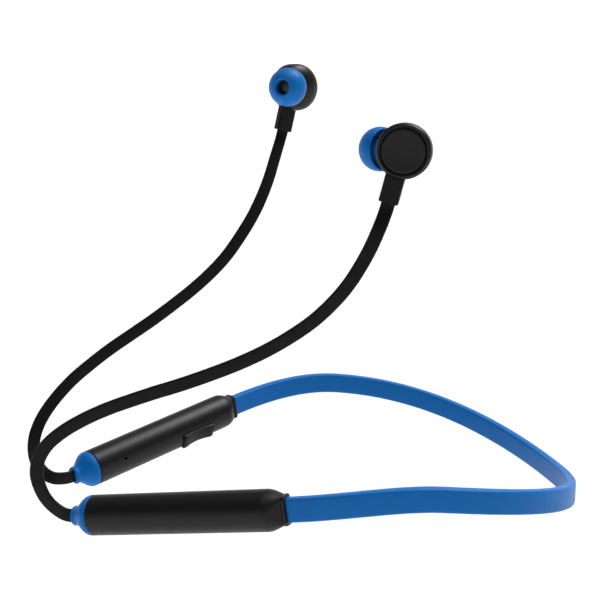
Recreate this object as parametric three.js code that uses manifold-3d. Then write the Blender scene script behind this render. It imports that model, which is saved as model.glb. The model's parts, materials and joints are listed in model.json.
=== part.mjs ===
// Neckband earphones: a springy band with a battery tube on the wearer's left and a control tube on
// the right, each with a flat cable to an angled in-ear bud that has a magnetic flat back.
//
// Millimetres, +Z up. The origin is on the inside of the band at the nape. +X points back, away from
// the wearer, -X along the two arms to the chest, +Y to the wearer's right.

import * as THREE from "three";
import { mergeVertices } from "three/addons/utils/BufferGeometryUtils.js";
import Module from "manifold-3d";

const wasm = await Module();
wasm.setup();

// ---------------------------------------------------------------- driving dimensions
const GAP = 0.3; // air between pieces that touch

const BAND_HEIGHT = 6.4;
const BAND_THICKNESS = 3.0;
const BAND_CORNER = 0.6;
const CHANNEL_HEIGHT = 4.2;
const CHANNEL_THICKNESS = 1.7;
const BAND_STEPS = 30;

// The band's centre line: one arm from the nape by way of the shoulder to the tube.
const NAPE = [BAND_THICKNESS / 2, 0, 0];
const NAPE_HANDLE = 28.7;
const SHOULDER = [-52.3, 62.8, 13.9];
const SHOULDER_RISE = 0.1; // climb per millimetre forward at the shoulder
const SHOULDER_HANDLE_BACK = 37;
const SHOULDER_HANDLE_FRONT = 12.7;
const TUBE_START = [-91.5, 51.8, 9.6];
const TUBE_START_HANDLE = 16.2;
const TUBE_TOE_IN = 33; // degrees that the tube turns in towards the middle
const TUBE_DIP = 9.7; // degrees that the tube falls towards the chest

// Places along a tube, measured from TUBE_START towards the chest.
const TUBE_RADIUS = 5.5;
const TUBE_BORE = 4.6;
const TUBE_END_RADIUS = 4.35;
const TUBE_TAPER_END = 4.0;
const TUBE_SEAM = 56.7;
const TUBE_SEGMENTS = 28;
const COLLAR_START = -1.9;
const COLLAR_HEIGHT = 8.4;
const COLLAR_THICKNESS = 5.0;
const TONGUE_HEIGHT = 5.2;
const TONGUE_THICKNESS = 2.2;
const TONGUE_END = 4.6;
const CORE_END = 6.5; // end of the wires that run through the band
const CAP_END = 63.2;
const CAP_LIP_RADIUS = 2.7;
const CAP_SPIGOT = 4.0; // how far the cap plugs into the tube

// Control tube: the key faces the inside of the neckband, turned a little down.
const KEY_PLACE = 18.2;
const KEY_TURN = -28; // degrees about the tube, from the inward side towards up
const KEY_LENGTH = 12.6;
const KEY_WIDTH = 5.0;
const KEY_TOP = 6.0;
const KEY_SCOOP_TOP = 5.45;
const KEY_UNDERSIDE = 3.6;
const KEY_PIN_HEIGHT = 2.3;
const KEY_PIN_RADIUS = 0.5;
const SWITCH_SPACING = 4.6;
const BOARD_TOP = -0.6;
const BOARD_THICKNESS = 0.8;
const BOARD_WIDTH = 7.6;
const MIC_PLACE = 47.3;
const MIC_TURN = 10;
const PORT_PLACE = 35.4;
const LED_PLACE = 25.0;
const LED_HOLE_RADIUS = 0.9;
const LED_RADIUS = 0.6;
const MIC_HOLE_RADIUS = 0.5;

// Earbuds. The housing's +X is the outward normal of its flat back.
const BUD_RADIUS = 7.25;
const BUD_BACK = 4.0; // flat back, from the parting plane
const BUD_FRONT = 4.6; // dome, from the parting plane
const BUD_SEGMENTS = 26;
const BACK_TOE = 22; // degrees that a flat back turns forward from straight out
const NOZZLE_CANT = 52; // degrees between the nozzle and the housing's axis
const NOZZLE_RADIUS = 2.3;
const NOZZLE_END = 10.2;
const NOZZLE_BORE = 1.6;
const TIP_RADIUS = 5.9;
const TIP_START = 6.2;
const TIP_WIDEST = 8.2;
const TIP_FRONT = 13.3;
const TIP_SEGMENTS = 22;
const STEM_WIDTH = 5.2;
const STEM_THICKNESS = 3.0;
const STEM_LEAN = 14; // degrees that the stem leans forward
const STEM_OFFSET = 2.1;
const STEM_TOP = -6.7;
const STEM_LENGTH = 7.0;
const STEM_DEPTH = 1.9; // stem's middle plane behind the parting plane
const BUDS = {
  left: { hand: -1, centre: [-58.2, -36.9, 99.8] },
  right: { hand: 1, centre: [-72.3, 40.5, 115.6] },
};

const CABLE_WIDTH = 3.7;
const CABLE_THICKNESS = 1.3;
const CABLE_STEPS = 36;
const CABLE_INSET = 5; // how far the cable reaches into the cap
const STEM_POCKET = 3.4; // how far the cable reaches into the stem
// Each cable's route between its cap and its stem.
const CABLE_ROUTES = {
  left: [
    [-146.6, -16.6, -0.9],
    [-149.4, -15.8, 0.9],
    [-151.7, -15.6, 3.7],
    [-153.2, -15.6, 7.1],
    [-153.9, -15.7, 10.8],
    [-153.3, -16.0, 14.7],
    [-151.2, -16.6, 18.6],
    [-147.6, -17.5, 22.1],
    [-142.6, -18.7, 25.5],
    [-135.3, -20.6, 29.3],
    [-123.5, -23.8, 34.0],
    [-115.6, -25.9, 36.8],
    [-107.8, -28.1, 39.9],
    [-100.1, -30.2, 43.3],
    [-93.0, -32.0, 47.0],
    [-86.3, -33.7, 51.3],
    [-80.4, -35.0, 55.9],
    [-73.5, -36.6, 63.5],
    [-68.4, -37.5, 71.8],
    [-65.0, -38.0, 79.4],
  ],
  right: [
    [-146.7, 16.3, -1.2],
    [-149.6, 16.0, -0.9],
    [-152.2, 16.8, 0.3],
    [-154.2, 18.3, 2.5],
    [-155.3, 20.4, 5.4],
    [-155.3, 22.6, 9.1],
    [-153.9, 24.4, 13.4],
    [-151.3, 25.8, 17.7],
    [-147.9, 26.8, 21.9],
    [-143.5, 27.6, 26.4],
    [-138.2, 28.0, 30.8],
    [-132.2, 28.4, 35.3],
    [-125.6, 28.7, 39.7],
    [-118.8, 29.0, 44.2],
    [-112.4, 29.4, 48.8],
    [-106.5, 29.8, 53.3],
    [-101.3, 30.2, 57.8],
    [-96.7, 30.8, 62.4],
    [-93.0, 31.6, 67.0],
    [-87.0, 33.1, 76.1],
    [-82.5, 35.0, 85.4],
    [-79.3, 37.3, 94.4],
  ],
};

// ---------------------------------------------------------------- materials
function finish(color, roughness, metalness = 0) {
  return new THREE.MeshStandardMaterial({ color, roughness, metalness });
}
const MATERIALS = {
  blueSilicone: finish(0x2466ad, 0.55),
  blackPlastic: finish(0x1b1b1d, 0.38),
  blackRubber: finish(0x1a1a1a, 0.6),
  springSteel: finish(0x9c9ea3, 0.3, 1),
  steel: finish(0xb8babd, 0.35, 1),
  copper: finish(0xb4703c, 0.45, 1),
  magnet: finish(0x8e9096, 0.3, 1),
  board: finish(0x14532d, 0.5),
  chip: finish(0x202225, 0.45),
  ceramic: finish(0xe3ddd0, 0.5),
  cellWrap: finish(0x3f74a8, 0.4),
  foam: finish(0x2c2c2e, 0.95),
  lightPipe: finish(0xe8ecf0, 0.2),
};

// ---------------------------------------------------------------- geometry helpers
const radians = THREE.MathUtils.degToRad;
const vector = (p) => new THREE.Vector3(...p);
const mirrored = (p, side) => [p[0], p[1] * side, p[2]];

// Only positions, shared vertices merged, no zero triangles, faces outward.
function closed(geometry) {
  const bare = new THREE.BufferGeometry();
  bare.setAttribute("position", geometry.getAttribute("position").clone());
  if (geometry.index) bare.setIndex(geometry.index.clone());
  const merged = mergeVertices(bare, 1e-4);
  const at = (i) => new THREE.Vector3().fromBufferAttribute(merged.getAttribute("position"), i);
  const kept = [];
  let volume = 0;
  for (let i = 0; i < merged.index.count; i += 3) {
    const [a, b, c] = [0, 1, 2].map((k) => merged.index.getX(i + k));
    if (a === b || b === c || c === a) continue;
    kept.push(a, b, c);
    volume += at(a).dot(at(b).cross(at(c)));
  }
  if (volume < 0) kept.reverse();
  merged.setIndex(kept);
  return merged;
}

function solid(geometry) {
  const shape = closed(geometry);
  return new wasm.Manifold(
    new wasm.Mesh({
      numProp: 3,
      vertProperties: new Float32Array(shape.getAttribute("position").array),
      triVerts: new Uint32Array(shape.index.array),
    }),
  );
}

function surface(body) {
  const { vertProperties, triVerts } = body.getMesh();
  const geometry = new THREE.BufferGeometry();
  geometry.setAttribute("position", new THREE.BufferAttribute(new Float32Array(vertProperties), 3));
  geometry.setIndex(new THREE.BufferAttribute(new Uint32Array(triVerts), 1));
  return geometry;
}

// A turned shape about the X axis from [place along X, radius] points.
function turned(profile, segments) {
  const points = profile.map(([x, r]) => new THREE.Vector2(r, x));
  return new THREE.LatheGeometry(points, segments).rotateZ(-Math.PI / 2);
}

function disc(from, to, radius, segments) {
  return turned([[from, 0], [from, radius], [to, radius], [to, 0]], segments);
}

function box(low, high) {
  const size = high.map((v, i) => v - low[i]);
  const middle = high.map((v, i) => (v + low[i]) / 2);
  return new THREE.BoxGeometry(...size).translate(...middle);
}

// A cylinder along Y or Z between two places on that axis.
function rod(axis, from, to, radius, middle, segments = 16) {
  const geometry = new THREE.CylinderGeometry(radius, radius, to - from, segments);
  geometry.translate(0, (from + to) / 2, 0);
  if (axis === "z") geometry.rotateX(Math.PI / 2);
  return geometry.translate(...middle);
}

// A rectangle with its corners cut off.
function chamferedSection(width, height, chamfer) {
  const [x, y] = [width / 2, height / 2];
  const corners = [
    [x, chamfer - y],
    [x, y - chamfer],
    [x - chamfer, y],
    [chamfer - x, y],
    [-x, y - chamfer],
    [-x, chamfer - y],
    [chamfer - x, -y],
    [x - chamfer, -y],
  ];
  return new THREE.Shape(corners.map((corner) => new THREE.Vector2(...corner)));
}

function octagon(radius) {
  return chamferedSection(2 * radius, 2 * radius, radius * (2 - Math.SQRT2));
}

const UP = new THREE.Vector3(0, 0, 1);
const RIGHT = new THREE.Vector3(0, 1, 0);

// A path whose section keeps its own Y as near as it can to the guide at each place.
class GuidedPath extends THREE.CurvePath {
  constructor(curves, guideAt = () => UP) {
    super();
    this.guideAt = guideAt;
    for (const curve of curves) this.add(curve);
  }

  computeFrenetFrames(segments) {
    const frames = { tangents: [], normals: [], binormals: [] };
    for (let i = 0; i <= segments; i++) {
      const tangent = this.getTangentAt(i / segments);
      const guide = this.guideAt(i / segments);
      const binormal = guide.clone().addScaledVector(tangent, -guide.dot(tangent)).normalize();
      frames.tangents.push(tangent);
      frames.binormals.push(binormal);
      frames.normals.push(binormal.clone().cross(tangent));
    }
    return frames;
  }
}

function swept(section, path, steps) {
  return new THREE.ExtrudeGeometry(section, { steps, bevelEnabled: false, extrudePath: path });
}

// A chamfered bar along X: width is its size along Y, height along Z.
function bar(width, height, chamfer, from, to) {
  const line = new THREE.LineCurve3(new THREE.Vector3(from, 0, 0), new THREE.Vector3(to, 0, 0));
  return swept(chamferedSection(width, height, chamfer), new GuidedPath([line]), 1);
}

function cut(body, ...tools) {
  return tools.reduce((rest, tool) => rest.subtract(solid(tool)), body);
}

function join(first, ...others) {
  return others.reduce((whole, other) => whole.add(solid(other)), solid(first));
}

// ---------------------------------------------------------------- the assembly
const neckband = new THREE.Group();

function place(group, name, shape, material) {
  const geometry = shape instanceof THREE.BufferGeometry ? closed(shape) : surface(shape);
  const mesh = new THREE.Mesh(geometry, material);
  mesh.name = name;
  group.add(mesh);
}

// The frame at a place with the given X and Z axes.
function frameAt(position, xAxis, zAxis) {
  const yAxis = zAxis.clone().cross(xAxis);
  return new THREE.Matrix4().makeBasis(xAxis, yAxis, zAxis).setPosition(position);
}

function groupAt(matrix) {
  const group = new THREE.Group();
  matrix.decompose(group.position, group.quaternion, group.scale);
  neckband.add(group);
  return group;
}

// side is -1 for the wearer's left and 1 for the right
function tubeAxis(side) {
  const [toe, dip] = [radians(TUBE_TOE_IN), radians(TUBE_DIP)];
  return new THREE.Vector3(
    -Math.cos(toe) * Math.cos(dip),
    -side * Math.sin(toe) * Math.cos(dip),
    -Math.sin(dip),
  );
}

function tubePoint(side, along) {
  return vector(mirrored(TUBE_START, side)).addScaledVector(tubeAxis(side), along);
}

// One arm's centre line from the nape to a place along the tube, raised by lift. It starts beside
// the nape's middle, or overrun past it.
function armPath(side, end, { lift = 0, overrun = 0 } = {}) {
  const raise = new THREE.Vector3(0, 0, lift);
  const start = vector(NAPE).addScaledVector(RIGHT, side * (GAP / 2 - overrun)).add(raise);
  const shoulder = vector(mirrored(SHOULDER, side)).add(raise);
  const junction = tubePoint(side, 0).add(raise);
  const forward = new THREE.Vector3(-1, 0, SHOULDER_RISE).normalize();
  const axis = tubeAxis(side);
  const back = new THREE.CubicBezierCurve3(
    start,
    start.clone().addScaledVector(RIGHT, side * NAPE_HANDLE),
    shoulder.clone().addScaledVector(forward, -SHOULDER_HANDLE_BACK),
    shoulder,
  );
  const front = new THREE.CubicBezierCurve3(
    shoulder,
    shoulder.clone().addScaledVector(forward, SHOULDER_HANDLE_FRONT),
    junction.clone().addScaledVector(axis, -TUBE_START_HANDLE),
    junction,
  );
  const curves = [back, front];
  if (end > 0) curves.push(new THREE.LineCurve3(junction, junction.clone().addScaledVector(axis, end)));
  return new GuidedPath(curves);
}

// In a tube's frame +X runs to the chest, +Y to the wearer's left and +Z up.
function tubeMatrix(side) {
  const axis = tubeAxis(side);
  const up = UP.clone().addScaledVector(axis, -axis.z).normalize();
  return frameAt(tubePoint(side, 0), axis, up);
}

// ---------------------------------------------------------------- band
function addBandHalf(name, side) {
  const section = chamferedSection(BAND_THICKNESS, BAND_HEIGHT, BAND_CORNER);
  const channel = chamferedSection(CHANNEL_THICKNESS, CHANNEL_HEIGHT, 0.2);
  const outside = solid(swept(section, armPath(side, 0), BAND_STEPS));
  const hollow = swept(channel, armPath(side, CORE_END, { overrun: GAP }), BAND_STEPS);
  // The full section stops short of the collar; a thinner tongue goes on into the tube.
  const toTube = tubeMatrix(side);
  const trim = box([COLLAR_START - GAP, -6, -6], [4, 6, 6]).applyMatrix4(toTube);
  const tongue = bar(TONGUE_THICKNESS, TONGUE_HEIGHT, 0.3, COLLAR_START - 4, TONGUE_END);
  const body = cut(outside, trim).add(solid(tongue.applyMatrix4(toTube))).subtract(solid(hollow));
  place(neckband, name, body, MATERIALS.blueSilicone);
}

function addBandCore(side, label) {
  const wire = swept(octagon(0.45), armPath(side, CORE_END, { lift: 1.0 }), BAND_STEPS);
  const leads = swept(octagon(0.5), armPath(side, CORE_END, { lift: -1.0 }), BAND_STEPS);
  place(neckband, `memory_wire_${label}`, wire, MATERIALS.springSteel);
  place(neckband, `band_wiring_${label}`, leads, MATERIALS.copper);
}

// ---------------------------------------------------------------- tubes
function tubeShell() {
  const inside = TUBE_BORE;
  const outer = [[0, 0], [0, TUBE_END_RADIUS - 0.25], [0.25, TUBE_END_RADIUS]];
  const taperSteps = 4;
  for (let i = 1; i <= taperSteps; i++) {
    const t = i / taperSteps;
    const swell = Math.sin((t * Math.PI) / 2);
    const radius = TUBE_END_RADIUS + (TUBE_RADIUS - TUBE_END_RADIUS) * swell;
    outer.push([0.25 + (TUBE_TAPER_END - 0.25) * t, radius]);
  }
  const profile = [
    ...outer,
    [TUBE_SEAM - 0.15, TUBE_RADIUS],
    [TUBE_SEAM, TUBE_RADIUS - 0.15],
    [TUBE_SEAM, inside],
    [4.2, inside],
    [2.2, inside - 1.6],
    [2.2, 0],
  ];
  const slot = bar(4.2, 7.4, 0.6, -1, 4);
  return cut(solid(turned(profile, TUBE_SEGMENTS)), slot);
}

function addCollar(group, name) {
  const plate = bar(COLLAR_THICKNESS, COLLAR_HEIGHT, 1.5, COLLAR_START, -GAP);
  const neck = bar(3.6, 6.8, 0.5, COLLAR_START, 3.4);
  const opening = bar(TONGUE_THICKNESS + 2 * GAP, TONGUE_HEIGHT + 2 * GAP, 0.3, COLLAR_START - 1, 4);
  place(group, name, cut(join(plate, neck), opening), MATERIALS.blackPlastic);
}

// A soft flared cap that plugs into the tube and carries the cable out through a slot.
function addCap(group, name) {
  const start = TUBE_SEAM + GAP;
  const flareEnd = CAP_END - 1.6;
  const flare = [];
  const steps = 4;
  for (let i = 0; i <= steps; i++) {
    const t = i / steps;
    const drop = 1 - (1 - t) ** 2;
    const radius = TUBE_RADIUS - (TUBE_RADIUS - CAP_LIP_RADIUS + 0.2) * drop;
    flare.push([start + 0.5 + (flareEnd - start - 0.5) * t, radius]);
  }
  const profile = [
    [TUBE_SEAM - CAP_SPIGOT, 3.2],
    [TUBE_SEAM - CAP_SPIGOT, TUBE_BORE - GAP],
    [start, TUBE_BORE - GAP],
    [start, TUBE_RADIUS],
    ...flare,
    [CAP_END - 1.2, CAP_LIP_RADIUS],
    [CAP_END - 0.2, CAP_LIP_RADIUS],
    [CAP_END, CAP_LIP_RADIUS - 0.2],
    [CAP_END, 0],
    [start + 0.5, 0],
    [start + 0.5, 3.2],
    [TUBE_SEAM - CAP_SPIGOT, 3.2],
  ];
  const slot = bar(CABLE_THICKNESS + 2 * GAP, CABLE_WIDTH + 2 * GAP, 0.2, start, CAP_END + 1);
  place(group, name, cut(solid(turned(profile, TUBE_SEGMENTS)), slot), MATERIALS.blueSilicone);
}

function addBatteryTube() {
  const group = groupAt(tubeMatrix(-1));
  place(group, "battery_tube_shell", tubeShell(), MATERIALS.blackPlastic);
  addCollar(group, "battery_tube_collar");
  addCap(group, "battery_tube_cap");
  const board = box([10.2, -3, -3], [11.0, 3, 3]);
  place(group, "battery_protection_board", board, MATERIALS.board);
  const cell = turned(
    [[12, 0], [12, 3.9], [12.4, 4.25], [47, 4.25], [47.4, 3.9], [47.4, 1.6], [48, 1.6], [48, 0]],
    28,
  );
  place(group, "battery_cell", cell, MATERIALS.cellWrap);
  place(group, "battery_foam_pad", disc(48.4, 50.4, 4.2, 20), MATERIALS.foam);
}

function keyGroup(parent, along, turn) {
  const group = new THREE.Group();
  group.position.set(along, 0, 0);
  group.rotation.x = radians(turn);
  parent.add(group);
  return group;
}

// In a key group +Y points out of the tube through the key.
function inTube(shape, along, turn) {
  return shape.rotateX(radians(turn)).translate(along, 0, 0);
}

function controlShell() {
  const keySlot = box(
    [-KEY_LENGTH / 2 - GAP, 2, -KEY_WIDTH / 2 - GAP],
    [KEY_LENGTH / 2 + GAP, 8, KEY_WIDTH / 2 + GAP],
  );
  const micHole = rod("y", 3, 7, MIC_HOLE_RADIUS, [0, 0, 0], 12);
  const ledHole = rod("y", -7, -3, LED_HOLE_RADIUS, [0, 0, 0], 12);
  const portSlot = box([-4.1, -0.6, -7], [4.1, 2.5, -3]);
  const recess = box([-5.4, -1.6, -7], [6.2, 3.6, -4]);
  const recessFloor = disc(-7, 7, 5.0, TUBE_SEGMENTS);
  const recessRing = solid(recess).subtract(solid(recessFloor));
  return cut(
    tubeShell(),
    inTube(keySlot, KEY_PLACE, KEY_TURN),
    inTube(micHole, MIC_PLACE, MIC_TURN),
    inTube(ledHole, LED_PLACE, KEY_TURN),
    inTube(portSlot, PORT_PLACE, KEY_TURN),
    inTube(surface(recessRing), PORT_PLACE, KEY_TURN),
  );
}

function addKey(parent) {
  const group = keyGroup(parent, KEY_PLACE, KEY_TURN);
  const half = KEY_LENGTH / 2;
  // Side view of the rocker: a bar whose top dips in one shallow scoop for the finger.
  const outline = new THREE.Shape();
  outline.moveTo(-half, KEY_UNDERSIDE);
  outline.lineTo(half, KEY_UNDERSIDE);
  outline.lineTo(half, KEY_TOP - 0.3);
  outline.lineTo(half - 0.3, KEY_TOP);
  const steps = 8;
  const scoopHalf = half - 1.3;
  for (let i = 0; i <= steps; i++) {
    const t = 1 - (2 * i) / steps;
    outline.lineTo(scoopHalf * t, KEY_SCOOP_TOP + (KEY_TOP - KEY_SCOOP_TOP) * t * t);
  }
  outline.lineTo(-half + 0.3, KEY_TOP);
  outline.lineTo(-half, KEY_TOP - 0.3);
  const plate = new THREE.ExtrudeGeometry(outline, { depth: KEY_WIDTH, bevelEnabled: false, steps: 1 });
  plate.translate(0, 0, -KEY_WIDTH / 2);
  const foot = (x) => box([x - 0.7, 1.5, -0.7], [x + 0.7, KEY_UNDERSIDE + 0.2, 0.7]);
  const hub = box([-1.3, 1.2, -1.2], [1.3, KEY_UNDERSIDE + 0.2, 1.2]);
  const pinHole = rod("z", -3, 3, KEY_PIN_RADIUS + 0.2, [0, KEY_PIN_HEIGHT, 0], 12);
  const rocker = cut(join(plate, foot(-SWITCH_SPACING), foot(SWITCH_SPACING), hub), pinHole);
  place(group, "volume_rocker", rocker, MATERIALS.blackPlastic);
  const pin = rod("z", -2.3, 2.3, KEY_PIN_RADIUS, [0, KEY_PIN_HEIGHT, 0], 12);
  place(group, "rocker_pin", pin, MATERIALS.steel);
  // The bracket's two open ears let the pin drop when the middle of the rocker is pressed.
  const base = box([-2.7, BOARD_TOP + GAP, -2.9], [2.7, BOARD_TOP + 0.8, 2.9]);
  const ear = (z) => box([-1.2, BOARD_TOP + GAP, z - 0.3], [1.2, 3.1, z + 0.3]);
  const window = box([-1.8, -2, -1.6], [1.8, 2, 1.6]);
  const notch = box([-0.7, 1.3, -4], [0.7, 4, 4]);
  const bracket = cut(join(base, ear(-2.0), ear(2.0)), window, notch);
  place(group, "rocker_bracket", bracket, MATERIALS.steel);
  const switches = { volume_down: -SWITCH_SPACING, play: 0, volume_up: SWITCH_SPACING };
  for (const [name, x] of Object.entries(switches)) {
    const can = box([x - 1.4, BOARD_TOP + GAP, -1.2], [x + 1.4, 0.4, 1.2]);
    const plunger = rod("y", 0.2, 0.8, 0.6, [x, 0, 0], 12);
    place(group, `${name}_switch`, join(can, plunger), MATERIALS.chip);
  }
}

function addBoard(parent) {
  const group = keyGroup(parent, 0, KEY_TURN);
  const bottom = BOARD_TOP - BOARD_THICKNESS;
  const half = BOARD_WIDTH / 2;
  const board = box([9.5, bottom, -half], [45.5, BOARD_TOP, half]);
  place(group, "main_board", board, MATERIALS.board);
  const module = box([11, bottom - GAP - 1.4, -3], [20.5, bottom - GAP, 3]);
  place(group, "bluetooth_module", module, MATERIALS.steel);
  const antenna = box([40.5, BOARD_TOP + GAP, -2.5], [42.5, BOARD_TOP + 1.5, 2.5]);
  place(group, "antenna", antenna, MATERIALS.ceramic);
  const pipe = rod("y", 0.05 - TUBE_RADIUS, bottom - GAP, LED_RADIUS, [LED_PLACE, 0, 0], 12);
  place(group, "status_light_pipe", pipe, MATERIALS.lightPipe);
}

// The charging socket lies on the board and opens down through the tube's wall.
function addPort(parent) {
  const group = keyGroup(parent, PORT_PLACE, KEY_TURN);
  const floor = BOARD_TOP + GAP;
  const can = box([-3.8, floor, -4.3], [3.8, floor + 2.5, 0.9]);
  const mouth = box([-3.45, floor + 0.35, -5], [3.45, floor + 2.15, 0.4]);
  const tongue = box([-1.9, floor + 1.0, -3.6], [1.9, floor + 1.5, 0.6]);
  const socket = cut(solid(can), mouth).add(solid(tongue));
  place(group, "charging_socket", socket, MATERIALS.steel);
  const ring = solid(disc(-5.1, 5.3, 5.65, TUBE_SEGMENTS)).subtract(solid(disc(-6, 6, 5.3, TUBE_SEGMENTS)));
  const leaf = ring.intersect(solid(box([-5.1, -1.3, -7], [5.3, 3.3, -3])));
  const plugBlock = box([-3.1, floor + 0.65, -5.4], [3.1, floor + 1.85, -3.95]);
  const pullTab = box([-5.1, 0.2, -6.1], [-4.3, 1.8, -5.3]);
  const cover = leaf.add(solid(plugBlock)).add(solid(pullTab));
  place(group, "port_cover", cover, MATERIALS.blackRubber);
}

function addMicrophone(parent) {
  const group = keyGroup(parent, MIC_PLACE, MIC_TURN);
  const gasket = rod("y", 3.7, 4.3, 1.1, [0, 0, 0], 16);
  const passage = rod("y", 3, 5, 0.45, [0, 0, 0], 12);
  place(group, "microphone_gasket", cut(solid(gasket), passage), MATERIALS.blackRubber);
  place(group, "microphone", box([-1.6, 2.3, -1.2], [1.6, 3.4, 1.2]), MATERIALS.steel);
}

function addControlTube() {
  const group = groupAt(tubeMatrix(1));
  place(group, "control_tube_shell", controlShell(), MATERIALS.blackPlastic);
  addCollar(group, "control_tube_collar");
  addCap(group, "control_tube_cap");
  addBoard(group);
  addKey(group);
  addPort(group);
  addMicrophone(group);
}

// ---------------------------------------------------------------- earbuds
function nozzleAxis(hand) {
  const cant = radians(NOZZLE_CANT);
  return new THREE.Vector3(-Math.cos(cant), hand * Math.sin(cant), 0);
}

// Lays a shape that was turned about X along the nozzle.
function alongNozzle(shape, hand) {
  return shape.rotateZ(hand * (Math.PI - radians(NOZZLE_CANT)));
}

// Lays a bar that runs along X down the stem; the bar's width stays level.
function alongStem(shape, hand) {
  shape.rotateY(Math.PI / 2).rotateX(hand * radians(STEM_LEAN));
  return shape.translate(STEM_DEPTH, hand * STEM_OFFSET, STEM_TOP);
}

function budBack(hand) {
  const rim = BUD_BACK;
  const profile = [
    [0.15, 6.3],
    [0.15, BUD_RADIUS - 0.1],
    [0.35, BUD_RADIUS],
    [rim - 1.1, BUD_RADIUS],
    [rim - 0.4, BUD_RADIUS - 0.2],
    [rim, BUD_RADIUS - 0.65],
    [rim - 0.25, BUD_RADIUS - 0.8],
    [rim - 0.25, 6.05],
    [rim - 1.05, 6.05],
    [rim - 1.05, 0],
    [rim - 1.5, 0],
    [rim - 1.5, 6.3],
    [0.15, 6.3],
  ];
  const neckHole = alongStem(bar(2.6, 1.6, 0.2, -2.5, 3), hand);
  return cut(solid(turned(profile, BUD_SEGMENTS)), neckHole);
}

function budFront(hand) {
  const dome = [
    [-0.15, 0],
    [-0.15, BUD_RADIUS],
    [-0.7, BUD_RADIUS - 0.1],
    [-1.8, 6.3],
    [-2.9, 5.2],
    [-3.9, 3.9],
    [-BUD_FRONT, 2.2],
    [-BUD_FRONT - 0.1, 0],
  ];
  const nozzle = turned(
    [[2, 0], [2, 3.4], [5.4, 3.4], [5.9, NOZZLE_RADIUS], [NOZZLE_END, NOZZLE_RADIUS], [NOZZLE_END, 0]],
    20,
  );
  const cavity = turned(
    [[4, 0], [4, 6.3], [-0.3, 6.3], [-1.0, 5.5], [-1.9, 5.2], [-3.0, 4.3], [-3.0, 0]],
    BUD_SEGMENTS,
  );
  const bore = disc(1.5, NOZZLE_END + 1, NOZZLE_BORE, 16);
  const seat = disc(NOZZLE_END - 0.5, NOZZLE_END + 1, NOZZLE_BORE + 0.4, 16);
  return cut(
    join(turned(dome, BUD_SEGMENTS), alongNozzle(nozzle, hand)),
    cavity,
    alongNozzle(bore, hand),
    alongNozzle(seat, hand),
  );
}

// A mushroom ear tip: a dome and skirt about a tube that pushes over the nozzle.
function earTip() {
  const profile = [];
  const steps = 7;
  const reach = TIP_FRONT - TIP_WIDEST;
  for (let i = 0; i <= steps; i++) {
    const angle = (i / steps) * radians(66);
    profile.push([
      TIP_WIDEST + (reach * Math.sin(angle)) / Math.sin(radians(66)),
      TIP_RADIUS * Math.cos(angle),
    ]);
  }
  return turned(
    [
      [TIP_START, TIP_RADIUS - 0.2],
      ...profile,
      [TIP_FRONT, 2.0],
      [NOZZLE_END + GAP, 2.0],
      [NOZZLE_END + GAP, NOZZLE_RADIUS + GAP],
      [TIP_START + 0.3, NOZZLE_RADIUS + GAP],
      [TIP_START + 0.3, 3.3],
      [10.6, 3.3],
      [10.2, 4.2],
      [TIP_WIDEST + 0.2, TIP_RADIUS - 0.6],
      [TIP_START, TIP_RADIUS - 0.7],
      [TIP_START, TIP_RADIUS - 0.2],
    ],
    TIP_SEGMENTS,
  );
}

function stem(hand) {
  const sleeve = bar(STEM_WIDTH, STEM_THICKNESS, 0.5, -2, STEM_LENGTH);
  const pocketTop = STEM_LENGTH - STEM_POCKET - GAP;
  const pocket = bar(CABLE_WIDTH + 2 * GAP, CABLE_THICKNESS + 2 * GAP, 0.2, pocketTop, STEM_LENGTH + 1);
  const neck = bar(2.0, 1.0, 0.2, -1.7, 2);
  const clearance = disc(-1, 6, BUD_RADIUS + GAP, BUD_SEGMENTS);
  const body = cut(solid(alongStem(sleeve, hand)), clearance, alongStem(pocket, hand));
  return body.add(solid(alongStem(neck, hand)));
}

function budMatrix(label) {
  const { hand, centre } = BUDS[label];
  const toe = radians(BACK_TOE);
  const back = new THREE.Vector3(-Math.sin(toe), hand * Math.cos(toe), 0);
  return frameAt(vector(centre), back, UP);
}

function addBud(label) {
  const { hand } = BUDS[label];
  const group = groupAt(budMatrix(label));
  const named = (piece) => `${label}_${piece}`;
  place(group, named("bud_back"), budBack(hand), MATERIALS.blackPlastic);
  const cover = [
    [BUD_BACK - 0.75, 0],
    [BUD_BACK - 0.75, 5.75],
    [BUD_BACK - 0.15, 5.75],
    [BUD_BACK, 5.6],
    [BUD_BACK, 0],
  ];
  place(group, named("bud_back_disc"), turned(cover, BUD_SEGMENTS), MATERIALS.blackPlastic);
  place(group, named("bud_holding_magnet"), disc(1.1, 2.2, 4.0, 24), MATERIALS.magnet);
  const driver = [[-2.6, 0], [-2.6, 4.2], [-1.9, 4.9], [-0.4, 4.9], [-0.2, 4.2], [0.8, 4.2], [0.8, 0]];
  place(group, named("driver"), turned(driver, 24), MATERIALS.steel);
  place(group, named("bud_front"), budFront(hand), MATERIALS.blackPlastic);
  const mesh = disc(NOZZLE_END - 0.25, NOZZLE_END - 0.05, NOZZLE_BORE + 0.1, 16);
  place(group, named("nozzle_mesh"), alongNozzle(mesh, hand), MATERIALS.steel);
  place(group, named("ear_tip"), alongNozzle(earTip(), hand), MATERIALS.blueSilicone);
  place(group, named("stem"), stem(hand), MATERIALS.blackRubber);
}

// ---------------------------------------------------------------- cables
// The point on a stem's axis at a distance below its top.
function stemPoint(label, along) {
  const { hand } = BUDS[label];
  const lean = radians(STEM_LEAN);
  return new THREE.Vector3(
    STEM_DEPTH,
    hand * (STEM_OFFSET + along * Math.sin(lean)),
    STEM_TOP - along * Math.cos(lean),
  ).applyMatrix4(budMatrix(label));
}

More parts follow.
